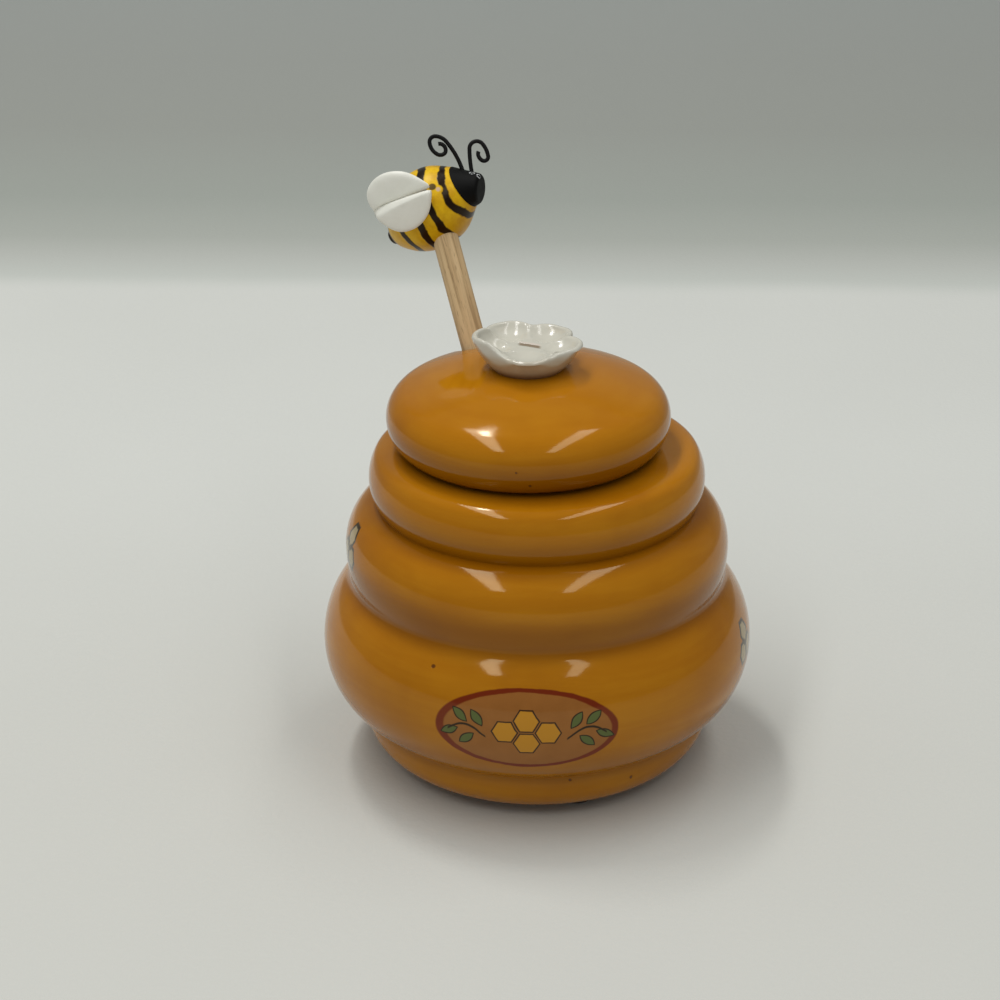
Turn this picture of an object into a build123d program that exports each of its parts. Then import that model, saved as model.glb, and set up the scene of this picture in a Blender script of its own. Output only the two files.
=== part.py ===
from build123d import *
import math
import os

# Honey pot in the shape of a skep hive: a glazed pot of stacked rings, a loose domed lid
# with a flower for a knob, and a wooden dipper that carries a painted bee.
# Millimetres. +Z is up, the origin is on the pot's axis at table level, the label faces -Y.

# --- ceramic body -------------------------------------------------------------------------
wall = 4.2                     # thickness of the slip-cast ceramic
pad_thickness = 2.4            # black pads that the pot stands on
pot_radius = 52.5              # outside of the belly
groove_round = 1.6             # soft bottom of the grooves between the rings

# Each ring is an egg-shaped section: how far it stays inside the pot's radius, how far its
# widest point rises above that of the ring under it (the first: above the table), its half
# width, and how far it bulges above and below its widest point.
base_ring = dict(step_in=10.1, rise=11.5, width=9.2, up=9.2, down=9.2)
belly_ring = dict(step_in=0.0, rise=19.0, width=21.5, up=22.0, down=20.6)
middle_ring = dict(step_in=6.4, rise=23.8, width=11.0, up=13.2, down=13.2)
top_ring = dict(step_in=12.5, rise=19.7, width=9.7, up=8.2, down=10.6)
seat_rise = 6.3                # from the top ring's widest point to the seat of the lid

mouth_radius = 23.6            # opening in the top of the pot
mouth_round = 1.2              # rounding of the mouth's edges
land_round = 1.5               # rounding of the outer edge of the lid's seat
foot_recess_radius = 23.0      # hollow under the pot
foot_recess_depth = 0.8

# --- foot pads ----------------------------------------------------------------------------
pad_count = 4
pad_diameter = 9.5
pad_edge = 0.7                 # rounded lower edge
pad_set_in = 3.8               # from the middle of the base ring's section to the pads' middles
pad_first_angle = -69.8        # direction of the first pad, from +X

# --- lid ----------------------------------------------------------------------------------
lid_radius = 33.9
lid_shift = 2.0                # the lid lies this far to the left in its loose seat
seat_gap = 0.2                 # between the lid's underside and the pot
lid_rim_width = 7.1            # half width of the lid's rim section
lid_rim_up = 7.5
lid_rim_down = 8.0
lid_rim_lift = 7.7             # widest point of the rim, above the lid's underside
crown_join = 68.7              # degrees up the rim section where the crown takes over
lid_edge_round = 0.6
flange_play = 2.4              # between the lid's locating flange and the mouth
flange_depth = 4.4             # below the lid's underside
flange_wall = 3.6
flange_edge = 0.8

# --- flower knob --------------------------------------------------------------------------
petal_count = 5
petal_turn = -90.0             # direction of the first petal, from +X
petal_radius = 5.9             # round lobe of one petal
flower_radius = 13.6           # axis to a petal's tip
petal_heights = (5.9, 7.0, 6.6, 7.2, 9.0)   # anticlockwise from the first petal
flower_base_radius = 8.6
flat_margin = 1.0              # flat spot of the crown around the flower's base
flower_flare_height = 8.6      # where the flared outside is as wide as the petals
flower_flare = 0.8             # bulge of the flared outside
petal_rim = 1.3                # width of the rim at the tip of a petal
petal_hollow_radius = 5.3      # hollow of a petal, on the level of its rim
petal_floor = 4.2              # thickness under the hollow of a petal
flower_heart_radius = 5.2      # flat spot in the middle
flower_heart_height = 5.0

# --- dipper -------------------------------------------------------------------------------
stick_diameter = 6.4
stick_lean = 28.5              # degrees from upright
stick_side = 34.5              # degrees to the left of straight back
stick_mouth_gap = 0.3          # between the stick and the edge of the mouth
stick_above = 51.7             # from the level of the pot's mouth to the stick's top end
slot_gap = 1.2                 # around the stick in the lid's slot
glue_gap = 0.05                # film of glue in the drilled holes

dipper_head_length = 32.0
dipper_head_diameter = 19.0
dipper_floor_gap = 0.3         # between the head and the pot's inner floor
dipper_bore_depth = 20.0       # hole in the head for the stick
groove_count = 6
groove_width = 1.9
groove_pitch = 4.0
groove_depth = 4.2

# --- bee ----------------------------------------------------------------------------------
bee_heading = -7.5             # degrees from +X towards +Y
bee_pitch = 35.8               # nose up
bee_roll = 56.7                # back turned towards the front
bee_from_stick = (-2.1, 3.3, 0.6)   # middle of the body from the end of the stick
sag_angle = 18.0               # the tail and the nose hang to the bee's right, this far below level

# sections of the body: place along the body, radius, sag of the section's middle
body_sections = [(-12.5, 1.9, 0.9), (-10.9, 4.4, 0.7), (-8.0, 7.3, 0.4), (-4.2, 9.4, 0.1),
                 (0.2, 10.0, 0.0), (5.0, 9.0, 0.0), (10.0, 5.7, 0.0)]
tail_tip = 1.0                 # rounded end beyond the last section

head_length = 3.7
head_front_radius = 3.6
head_sag = 2.8
head_nod = 35.0                # degrees that the face is turned towards the sag
head_round = 1.2

wing_length = 15.9
wing_width = 9.4
wing_thickness = 2.2           # along its thickest line; each wing thins towards its edge
wing_spread = 1.5              # size of the lens that thins the wing, in wing lengths and widths
# the right wing lies on the inner edge of the left one; roots in the bee's frame: forward,
# left, up
wing_roots = dict(left=(5.8, 0.75, 10.0), right=(6.3, -1.1, 11.6))
wing_raises = dict(left=25.0, right=-27.0)    # degrees that each wing is raised
wing_thick_lines = dict(left=0.5, right=0.0)  # where a wing is thickest, in wing widths
# closed outlines of the hand-made wings as shares of the length and width: the root, round
# the outer edge to the tip, and back along the inner edge
wing_shape_shares = dict(
    left=[(-0.01, -0.02), (0.05, 0.24), (0.15, 0.52), (0.27, 0.72), (0.44, 0.87), (0.61, 0.92), (0.77, 0.88),
          (0.90, 0.75), (0.97, 0.56), (0.99, 0.36), (0.95, 0.12), (0.70, 0.02), (0.35, 0.0), (0.07, -0.06)],
    right=[(-0.01, 0.04), (0.04, 0.17), (0.17, 0.41), (0.29, 0.54), (0.47, 0.63), (0.65, 0.60), (0.80, 0.48),
           (0.91, 0.24), (0.98, -0.10), (0.97, -0.28), (0.91, -0.37), (0.68, -0.32), (0.35, -0.17), (0.07, -0.04)])

antenna_diameter = 1.0
antenna_socket = 2.2           # depth of the wire in the head
antenna_face_turn = 2.7        # the flat curls face the front, turned this far to +X
antenna_face_tilt = 24.7       # and tilted up this far
# start in the bee's frame (forward, along the sag), first direction in the plane of the
# curl, then the arcs: radius and turn, anticlockwise when positive
antenna_left = dict(start=(12.1, -4.0), heading=109.6,
                    arcs=[(21.0, 20.6), (3.8, 45.0), (1.4, 99.3), (3.65, 56.2), (1.6, 63.7), (0.9, 43.9),
                          (1.6, 110.0)])
antenna_right = dict(start=(13.9, -2.1), heading=100.0,
                     arcs=[(31.7, -9.9), (1.8, -140.1), (6.25, -31.0), (1.0, -129.4), (2.0, -40.7), (1.6, -40.0)])

# --- places worked out from the sizes above -------------------------------------------------
section_plane = Plane.XZ       # sections are drawn as radius and height
foot_z = pad_thickness         # height of the pot's flat foot
rings = []
for sizes in (base_ring, belly_ring, middle_ring, top_ring):
    under = rings[-1]["height"] if rings else 0.0
    rings.append(dict(sizes, radius=pot_radius - sizes["step_in"], height=under + sizes["rise"]))
seat_z = rings[-1]["height"] + seat_rise    # top of the pot, where the lid rests
pad_circle_radius = rings[0]["radius"] - rings[0]["width"] - pad_set_in
lid_bottom = seat_z + seat_gap
flange_radius = mouth_radius - flange_play
stick_radius = stick_diameter / 2
out_direction = Vector(0, 1, 0).rotate(Axis.Z, stick_side)
stick_direction = (out_direction * math.sin(math.radians(stick_lean))
                   + Vector(0, 0, 1) * math.cos(math.radians(stick_lean)))
stick_reach = stick_radius / math.cos(math.radians(stick_lean))
mouth_point = (out_direction * (mouth_radius - stick_mouth_gap - stick_reach)
               + Vector(0, 0, seat_z))


def along_stick(distance):
    """A point on the stick's axis, measured from the level of the mouth."""
    return mouth_point + stick_direction * distance


def half_section(ring, inset=0.0):
    """Section of a ring and of the solid core inside it, as a face of radius and height."""
    width = ring["width"] - inset
    centre = ring["radius"] - ring["width"]
    up = ring["up"] - inset
    down = ring["down"] - inset
    egg = Sketch()
    for height, side in ((up, 1), (down, -1)):
        half = Rectangle(2 * width, height, align=(Align.CENTER, Align.MIN if side > 0 else Align.MAX))
        egg += Ellipse(width, height) & half
    core = Pos(0, -down) * Rectangle(centre, up + down, align=(Align.MIN, Align.MIN))
    return Pos(centre, ring["height"]) * egg + Pos(0, ring["height"]) * core


def between(low, high, radius):
    """A band from the axis to a radius, between two heights."""
    return Pos(0, low) * Rectangle(radius, high - low, align=(Align.MIN, Align.MIN))


def turned(face):
    """Solid of revolution about the vertical axis."""
    return revolve(section_plane * face, Axis.Z, 360)


def round_corner(face, radius, height, rounding):
    """Round the corner of a section that lies nearest to a radius and height."""
    corner = face.vertices().sort_by_distance(Vector(radius, height, 0))[0]
    return fillet(corner, rounding)


def outer_section():
    """Outside of the pot, before the grooves are softened."""
    face = Sketch()
    for ring in rings:
        face += half_section(ring)
    return face & between(foot_z, seat_z, 2 * pot_radius)


def groove_corner(face, lower, upper):
    """The corner in which two neighbouring rings meet."""
    inside = [v for v in face.vertices()
              if lower["height"] + 0.5 < v.Y < upper["height"] - 0.5 and v.X > mouth_radius]
    return max(inside, key=lambda v: v.X)


def make_pot():
    outside = outer_section()
    pairs = list(zip(rings[:-1], rings[1:]))
    corners = [groove_corner(outside, lower, upper) for lower, upper in pairs]
    hollow = Sketch()
    for ring in rings:
        hollow += half_section(ring, inset=wall)
    for (lower, upper), corner in zip(pairs, corners):
        hollow += between(lower["height"], upper["height"], corner.X - wall)
    hollow = hollow & between(foot_z + wall, seat_z - wall, 2 * pot_radius)
    outside = fillet(corners, groove_round)
    shoulder = max((v for v in outside.vertices() if abs(v.Y - seat_z) < 1e-3), key=lambda v: v.X)
    outside = fillet(shoulder, land_round)
    face = outside - hollow - between(rings[-1]["height"], seat_z + wall, mouth_radius)
    for height in (seat_z, seat_z - wall):
        face = round_corner(face, mouth_radius, height, mouth_round)
    recess = Pos(0, 0, foot_z) * Cylinder(foot_recess_radius, 2 * foot_recess_depth)
    return turned(face) - recess


def make_pads():
    pads = []
    for index in range(pad_count):
        angle = math.radians(pad_first_angle + index * 360 / pad_count)
        pad = Cylinder(pad_diameter / 2, pad_thickness, align=(Align.CENTER, Align.CENTER, Align.MIN))
        pad = fillet(pad.edges().group_by(Axis.Z)[0], pad_edge)
        place = Pos(pad_circle_radius * math.cos(angle), pad_circle_radius * math.sin(angle), 0)
        pads.append(place * pad)
    return pads


def crown(inset=0.0):
    """Radius of the crown, the height of its centre, and the radius where it meets the rim."""
    t = math.radians(crown_join)
    join_radius = lid_radius - lid_rim_width + lid_rim_width * math.cos(t)
    join_height = lid_bottom + lid_rim_lift + lid_rim_up * math.sin(t)
    slope = (math.sin(t) / lid_rim_up) / (math.cos(t) / lid_rim_width)
    centre = join_height - join_radius * slope
    radius = math.hypot(join_radius, join_height - centre) - inset
    return radius, centre, join_radius, join_height


def lid_section(inset=0.0):
    rim = dict(radius=lid_radius, height=lid_bottom + lid_rim_lift, width=lid_rim_width,
               up=lid_rim_up, down=lid_rim_down)
    radius, centre, join_radius, join_height = crown(inset)
    dome = (Pos(0, centre) * Circle(radius)) & between(rim["height"], centre + 2 * radius, join_radius)
    return half_section(rim, inset=inset) + dome


def crown_height(at_radius):
    radius, centre = crown()[:2]
    return centre + math.sqrt(radius ** 2 - at_radius ** 2)


flower_z = crown_height(flower_base_radius)    # flat spot on the crown under the flower


def slot_cutter():
    """Space around the slanted stick, open towards the lid's outer edge."""
    radius = stick_radius + slot_gap
    length = 2 * (crown_height(0) - seat_z + flange_depth)
    plane = Plane(origin=mouth_point, x_dir=stick_direction.cross(Vector(0, 0, 1)),
                  z_dir=stick_direction)
    outline = Circle(radius) + Rectangle(2 * radius, 2 * lid_radius, align=(Align.CENTER, Align.MAX))
    if plane.y_dir.dot(out_direction) > 0:
        outline = Rot(0, 0, 180) * outline
    return extrude(plane * outline, length / 2, both=True)


def make_lid():
    face = lid_section() & between(lid_bottom, 2 * seat_z, 2 * lid_radius)
    face = round_corner(face, lid_radius - lid_rim_width, lid_bottom, lid_edge_round)
    hollow = lid_section(inset=wall)
    flange = between(lid_bottom - flange_depth, lid_bottom + wall, flange_radius)
    face = face + flange - hollow - between(0, lid_bottom + wall, flange_radius - flange_wall)
    for radius in (flange_radius, flange_radius - flange_wall):
        face = round_corner(face, radius, lid_bottom - flange_depth, flange_edge)
    lid = Pos(-lid_shift, 0, 0) * turned(face)
    flat = Cylinder(flower_base_radius + flat_margin, 2 * wall,
                    align=(Align.CENTER, Align.CENTER, Align.MIN))
    flat = Pos(-lid_shift, 0, flower_z) * flat
    return lid - flat - slot_cutter()


def towards_petal(index, distance):
    """A point on the level of the flower's base, on the line from its axis to a petal's tip."""
    return Vector(distance, 0, 0).rotate(Axis.Z, petal_turn + index * 360 / petal_count)


def petal_hollow(index):
    """Ball that hollows a petal down to its floor, within its rim."""
    depth = petal_heights[index] - petal_floor
    ball_radius = (petal_hollow_radius ** 2 + depth ** 2) / (2 * depth)
    middle = towards_petal(index, flower_radius - petal_rim - petal_hollow_radius)
    return Pos(middle + Vector(0, 0, petal_floor + ball_radius)) * Sphere(ball_radius)


def make_flower():
    """Shallow dish of five hollow petals, each with its own height, round a flat heart."""
    tallest = max(petal_heights)
    outline = [Line((0, 0), (flower_base_radius, 0)),
               SagittaArc((flower_base_radius, 0), (flower_radius, flower_flare_height), -flower_flare),
               Line((flower_radius, flower_flare_height), (flower_radius, tallest)),
               Line((flower_radius, tallest), (0, tallest)), Line((0, tallest), (0, 0))]
    flared = Rot(0, 0, petal_turn) * turned(make_face(outline))
    lobes = Cylinder(flower_base_radius, flower_heart_height, align=(Align.CENTER, Align.CENTER, Align.MIN))
    for index, height in enumerate(petal_heights):
        lobes += Pos(towards_petal(index, flower_radius - petal_radius)) * Cylinder(
            petal_radius, height, align=(Align.CENTER, Align.CENTER, Align.MIN))
    flower = flared & lobes
    for index in range(petal_count):
        flower -= petal_hollow(index)
    heart = Cylinder(flower_heart_radius, tallest, align=(Align.CENTER, Align.CENTER, Align.MIN))
    flower -= Pos(0, 0, flower_heart_height) * heart
    return Pos(-lid_shift, 0, flower_z) * flower


def axis_plane(distance):
    """Plane across the stick, its normal along the stick."""
    return Plane(origin=along_stick(distance), x_dir=out_direction.cross(Vector(0, 0, 1)),
                 z_dir=stick_direction)


def dipper_head_middle():
    """Distance along the stick of the middle of the head, which rests near the pot's floor."""
    lean = math.radians(stick_lean)
    reach = math.hypot(dipper_head_length / 2 * math.cos(lean), dipper_head_diameter / 2 * math.sin(lean))
    height = foot_z + wall + dipper_floor_gap + reach
    return (height - seat_z) / math.cos(lean)


head_middle = dipper_head_middle()
stick_bottom = head_middle + dipper_head_length / 2 - dipper_bore_depth


def make_stick():
    return extrude(axis_plane(stick_bottom) * Circle(stick_radius), stick_above - stick_bottom)


def make_dipper_head():
    """Turned barrel with deep grooves and a drilled hole for the stick."""
    half = Ellipse(dipper_head_diameter / 2, dipper_head_length / 2) & between(
        -dipper_head_length, dipper_head_length, dipper_head_diameter)
    head = turned(half)
    for index in range(groove_count):
        height = (index - (groove_count - 1) / 2) * groove_pitch
        ring = (Cylinder(dipper_head_diameter, groove_width)
                - Cylinder(dipper_head_diameter / 2 - groove_depth, groove_width))
        head -= Pos(0, 0, height) * ring
    bore = Cylinder(stick_radius + glue_gap, 2 * dipper_bore_depth)
    head -= Pos(0, 0, dipper_head_length / 2) * bore
    return axis_plane(head_middle).location * head


def bee_plane():
    """The bee's frame: X forward, Y to its left, Z up from its back."""
    heading = math.radians(bee_heading)
    pitch = math.radians(bee_pitch)
    roll = math.radians(bee_roll)
    forward = Vector(math.cos(heading) * math.cos(pitch), math.sin(heading) * math.cos(pitch),
                     math.sin(pitch))
    level_right = Vector(math.sin(heading), -math.cos(heading), 0)
    level_up = level_right.cross(forward)
    back = level_up * math.cos(roll) + level_right * math.sin(roll)
    return Plane(origin=along_stick(stick_above) + Vector(*bee_from_stick), x_dir=forward, z_dir=back)


bee_frame = bee_plane()
sag_direction = Vector(0, -math.cos(math.radians(sag_angle)), -math.sin(math.radians(sag_angle)))


def section_at(place, radius, sag, nod=0.0):
    """Round section across the bee, sagging from its axis and turned by a nod."""
    turn = math.radians(nod)
    normal = Vector(1, 0, 0) * math.cos(turn) + sag_direction * math.sin(turn)
    return Plane(origin=Vector(place, 0, 0) + sag_direction * sag, z_dir=normal) * Circle(radius)


def make_bee_body():
    first = body_sections[0]
    tip = Vertex(*(Vector(first[0] - tail_tip, 0, 0) + sag_direction * first[2]))
    body = loft([tip] + [section_at(*section).face() for section in body_sections])
    hole = extrude(axis_plane(0) * Circle(stick_radius + glue_gap), stick_above + glue_gap)
    return bee_frame.location * body - hole


def make_bee_head():
    place, radius, sag = body_sections[-1]
    front = section_at(place + head_length, head_front_radius, head_sag, head_nod)
    head = loft([section_at(place, radius, sag).face(), front.face()], ruled=True)
    head = fillet(head.faces().sort_by(Axis.X)[-1].edges(), head_round)
    return bee_frame.location * head


def make_wing(name):
    """Thick petal-shaped wing that lies back along the body."""
    side = 1 if name == "left" else -1
    raised = math.radians(wing_raises[name])
    sideways = Vector(0, side * math.cos(raised), math.sin(raised))
    backward = Vector(-1, 0, 0)
    plane = Plane(origin=Vector(*wing_roots[name]), x_dir=backward, z_dir=backward.cross(sideways))
    points = [(u * wing_length, v * wing_width) for u, v in wing_shape_shares[name]]
    outline = make_face(Spline(*points, periodic=True))
    lens = scale(Sphere(0.5), by=(wing_spread * wing_length, wing_spread * wing_width, wing_thickness))
    wing = extrude(outline, wing_thickness, both=True) & (
        Pos(wing_length / 2, wing_width * wing_thick_lines[name]) * lens)
    return bee_frame.location * plane.location * wing


def make_antenna(start, heading, arcs, diameter=antenna_diameter):
    """Stiff wire curled in one flat plane."""
    turn = math.radians(antenna_face_turn)
    tilt = math.radians(antenna_face_tilt)
    facing = Vector(math.sin(turn) * math.cos(tilt), -math.cos(turn) * math.cos(tilt), math.sin(tilt))
    local = Vector(start[0], 0, 0) + sag_direction * start[1]
    plane = Plane(origin=bee_frame.from_local_coords(local),
                  x_dir=Vector(math.cos(turn), math.sin(turn), 0), z_dir=facing)
    tangent = Vector(math.cos(math.radians(heading)), math.sin(math.radians(heading)), 0)
    edges = [Line(tangent * -antenna_socket, Vector(0, 0, 0))]
    for radius, sweep_angle in arcs:
        edges.append(JernArc(edges[-1] @ 1, edges[-1] % 1, radius, sweep_angle))
    path = plane.location * Wire([part.edge() for part in edges])
    section = Plane(origin=path @ 0, z_dir=path % 0) * Circle(diameter / 2)
    return sweep(section, path=path)


pot_body = make_pot()
foot_pads = make_pads()
lid = make_lid()
flower_knob = make_flower()
dipper_stick = make_stick()
dipper_head = make_dipper_head()
bee_body = make_bee_body()
bee_head = make_bee_head()
wings = {name: make_wing(name) - bee_body for name in wing_shape_shares}
antennae = {"left": make_antenna(**antenna_left), "right": make_antenna(**antenna_right)}
sockets = [make_antenna(**dict(shape, diameter=antenna_diameter + 2 * glue_gap))
           for shape in (antenna_left, antenna_right)]
bee_head = bee_head - sockets[0] - sockets[1]

pieces = dict(pot_body=pot_body, lid=lid, flower_knob=flower_knob, dipper_stick=dipper_stick,
              dipper_head=dipper_head, bee_body=bee_body, bee_head=bee_head)
for index, pad in enumerate(foot_pads):
    pieces["foot_pad_%d" % (index + 1)] = pad
for side in ("left", "right"):
    pieces["bee_wing_" + side] = wings[side]
    pieces["bee_antenna_" + side] = antennae[side]

os.makedirs("parts", exist_ok=True)
for name, shape in pieces.items():
    export_step(shape, "parts/%s.step" % name)
    box = shape.bounding_box()
    print("%-20s valid %s  volume %9.1f  z %.2f to %.2f" % (
        name, shape.is_valid, shape.volume, box.min.Z, box.max.Z))
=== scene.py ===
import math

import bmesh
import bpy
from mathutils import Matrix, Vector, noise


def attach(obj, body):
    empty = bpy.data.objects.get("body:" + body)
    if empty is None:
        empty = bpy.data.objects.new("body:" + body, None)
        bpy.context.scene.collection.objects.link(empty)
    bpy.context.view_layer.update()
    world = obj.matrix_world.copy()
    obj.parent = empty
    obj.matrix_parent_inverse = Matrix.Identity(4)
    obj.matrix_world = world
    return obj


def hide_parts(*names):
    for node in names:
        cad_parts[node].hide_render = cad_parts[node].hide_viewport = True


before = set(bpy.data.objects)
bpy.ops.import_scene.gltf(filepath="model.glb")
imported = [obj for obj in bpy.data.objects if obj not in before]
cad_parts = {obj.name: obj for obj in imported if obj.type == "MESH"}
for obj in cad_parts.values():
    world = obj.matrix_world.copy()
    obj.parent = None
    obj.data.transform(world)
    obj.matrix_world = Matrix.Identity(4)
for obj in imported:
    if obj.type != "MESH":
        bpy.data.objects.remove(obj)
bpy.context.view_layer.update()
mm = 0.001
perMetre = 1000.0  # turns the shader's metres into millimetres
up = Vector((0, 0, 1))


# ---- shader sums ---------------------------------------------------------------------------
def paint(red, green, blue):  # a display colour of 0 to 255, as the shader's own numbers
    parts = [level / 255 for level in (red, green, blue)]
    parts = [p / 12.92 if p < 0.04045 else ((p + 0.055) / 1.055) ** 2.4 for p in parts]
    return (*parts, 1.0)


class Wire:  # one output of a node; sums on wires add Math nodes
    def __init__(self, shader, socket):
        self.shader = shader
        self.socket = socket

    def out(self, place):
        return Wire(self.shader, self.socket.node.outputs[place])

    def maths(self, operation, *others):
        return self.shader.add("ShaderNodeMath", {"operation": operation}, [self, *others])

    def __add__(self, other):
        return self.maths("ADD", other)

    def __sub__(self, other):
        return self.maths("SUBTRACT", other)

    def __rsub__(self, other):
        return self.shader.add("ShaderNodeMath", {"operation": "SUBTRACT"}, [other, self])

    def __mul__(self, other):
        return self.maths("MULTIPLY", other)

    def __truediv__(self, other):
        return self.maths("DIVIDE", other)

    def __pow__(self, other):
        return self.maths("POWER", other)

    def __neg__(self):
        return self.maths("MULTIPLY", -1.0)

    def __abs__(self):
        return self.maths("ABSOLUTE")

    __radd__ = __add__
    __rmul__ = __mul__

    def most(self, other):
        return self.maths("MAXIMUM", other)

    def step(self, low, high):  # 0 below low and 1 above high, smooth between
        settings = {"interpolation_type": "SMOOTHSTEP"}
        return self.shader.add("ShaderNodeMapRange", settings, {"Value": self, "From Min": low, "From Max": high})

    def band(self, middle, half, soft):  # 1 within half of the middle, 0 further off
        return 1 - abs(self - middle).step(half - soft, half + soft)


class Shader:
    def __init__(self, name):
        self.material = bpy.data.materials.new(name)
        self.material.use_nodes = True
        self.tree = self.material.node_tree
        self.tree.nodes.clear()
        self.place = self.add("ShaderNodeTexCoord", output="Object")

    def add(self, kind, settings=None, values=(), output=0):
        node = self.tree.nodes.new(kind)
        for key, value in (settings or {}).items():
            if key == "stops":
                ramp = node.color_ramp
                while len(ramp.elements) < len(value):
                    ramp.elements.new(1.0)
                for element, (position, color) in zip(ramp.elements, value):
                    element.position = position
                    element.color = color
            else:
                setattr(node, key, value)
        for place, value in values.items() if isinstance(values, dict) else enumerate(values):
            if isinstance(value, Wire):
                self.tree.links.new(value.socket, node.inputs[place])
            else:
                node.inputs[place].default_value = value
        return Wire(self, node.outputs[output]) if node.outputs else None

    def axes(self, vector=None):
        x = self.add("ShaderNodeSeparateXYZ", None, [vector or self.place])
        return x, x.out(1), x.out(2)

    def shifted(self, origin):
        return self.add("ShaderNodeVectorMath", {"operation": "SUBTRACT"}, [self.place, tuple(origin)])

    def along(self, vector, direction):
        settings = {"operation": "DOT_PRODUCT"}
        return self.add("ShaderNodeVectorMath", settings, [vector, tuple(direction)], output="Value")

    def join(self, x, y, z):
        return self.add("ShaderNodeCombineXYZ", None, [x, y, z])

    def cloud(self, scale, detail=3.0, rough=0.5, vector=None, warp=0.0):
        values = {"Vector": vector or self.place, "Scale": scale, "Detail": detail, "Roughness": rough}
        return self.add("ShaderNodeTexNoise", None, {**values, "Distortion": warp})

    def mix(self, share, first, second, blend="MIX"):
        settings = {"data_type": "RGBA", "blend_type": blend}
        return self.add("ShaderNodeMix", settings, {0: share, 6: first, 7: second}, output=2)

    def ramp(self, value, stops):
        return self.add("ShaderNodeValToRGB", {"stops": stops}, [value])

    def away(self, spot):  # distance in millimetres from a spot given in millimetres
        values = [self.place, tuple(Vector(spot) * mm)]
        return self.add("ShaderNodeVectorMath", {"operation": "DISTANCE"}, values, "Value") * perMetre

    def bump(self, height, depth):
        return self.add("ShaderNodeBump", None, {"Height": height, "Distance": depth, "Strength": 1.0})

    def finish(self, **values):
        sockets = {name.replace("_", " "): value for name, value in values.items()}
        surface = self.add("ShaderNodeBsdfPrincipled", None, sockets)
        self.add("ShaderNodeOutputMaterial", None, [surface])
        return self.material


# ---- mesh helpers --------------------------------------------------------------------------
def resample(points, gap):  # the same line with points an even gap apart
    line = [Vector(p) for p in points]
    reach = [0.0]
    for a, b in zip(line, line[1:]):
        reach.append(reach[-1] + (b - a).length)
    count = max(2, round(reach[-1] / gap))
    made, index = [], 0
    for step in range(count + 1):
        wanted = reach[-1] * step / count
        while index < len(line) - 2 and reach[index + 1] < wanted:
            index += 1
        span = reach[index + 1] - reach[index] or 1.0
        made.append(line[index].lerp(line[index + 1], (wanted - reach[index]) / span))
    return made


def corner(start, control, end, steps=6):  # a soft corner from start to end
    start, control, end = Vector(start), Vector(control), Vector(end)
    made = []
    for step in range(steps + 1):
        t = step / steps
        made.append(start * (1 - t) ** 2 + control * 2 * t * (1 - t) + end * t ** 2)
    return made


def spun(profile, steps):  # a lathe shape from (radius, height) points in millimetres
    shape = bmesh.new()
    points = [shape.verts.new((p[0] * mm, 0, p[1] * mm)) for p in profile]
    edges = [shape.edges.new(pair) for pair in zip(points, points[1:])]
    bmesh.ops.spin(shape, geom=points + edges, cent=(0, 0, 0), axis=up, dvec=(0, 0, 0),
                   angle=2 * math.pi, steps=steps, use_merge=True, use_duplicate=False)
    bmesh.ops.remove_doubles(shape, verts=shape.verts, dist=1e-6)
    bmesh.ops.recalc_face_normals(shape, faces=shape.faces)
    return shape


def makePiece(name, shape, material, body, replaces=(), sharp=40.0):
    mesh = bpy.data.meshes.new(name)
    shape.to_mesh(mesh)
    shape.free()
    mesh.shade_smooth()
    mesh.set_sharp_from_angle(angle=math.radians(sharp))
    piece = bpy.data.objects.new(name, mesh)
    bpy.context.scene.collection.objects.link(piece)
    piece.data.materials.append(material)
    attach(piece, body)
    if replaces:
        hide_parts(*replaces)
    return piece


def dress(node, material):  # a CAD node keeps its shape and gets a better material
    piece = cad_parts[node]
    piece.data.materials.clear()
    piece.data.materials.append(material)


# ---- the rings of the pot ------------------------------------------------------------------
potSizes = {
    "wall": 4.2, "foot": 2.4, "seat": 80.3, "mouth": 23.6, "mouthRound": 1.2, "landRound": 1.9,
    "recess": 23.0, "recessDepth": 0.8, "footRound": 0.6, "grooveSoft": 2.6, "hollowSoft": 5.0, "leastInside": 20.0,
    # how closely the profile is sampled, then its point gaps outside and inside, and the slices round it
    "fine": 0.04, "outGap": 0.62, "inGap": 1.2, "slices": 168,
    # outer radius, height, half width, bulge up, bulge down
    "rings": [(42.6, 10.7, 9.6, 8.4, 8.8), (52.48, 30.7, 15.9, 19.5, 18.3),
              (46.4, 55.5, 9.1, 11.3, 16.0), (40.4, 72.9, 9.0, 10.2, 9.8)],
}


def ringRadius(ring, height, inset):
    radius, middle, width, rise, drop = ring
    reach = (rise if height > middle else drop) - inset
    share = (height - middle) / reach
    if abs(share) >= 1:
        return 0.0
    return radius - width + (width - inset) * math.sqrt(1 - share ** 2)


def potRadius(height, inset=0.0):
    soft = potSizes["hollowSoft"] if inset else potSizes["grooveSoft"]
    radius = 0.0
    for ring in potSizes["rings"]:
        other = ringRadius(ring, height, inset)
        blend = max(soft - abs(radius - other), 0.0) / soft
        radius = max(radius, other) + blend ** 2 * soft / 4
    return radius


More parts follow.
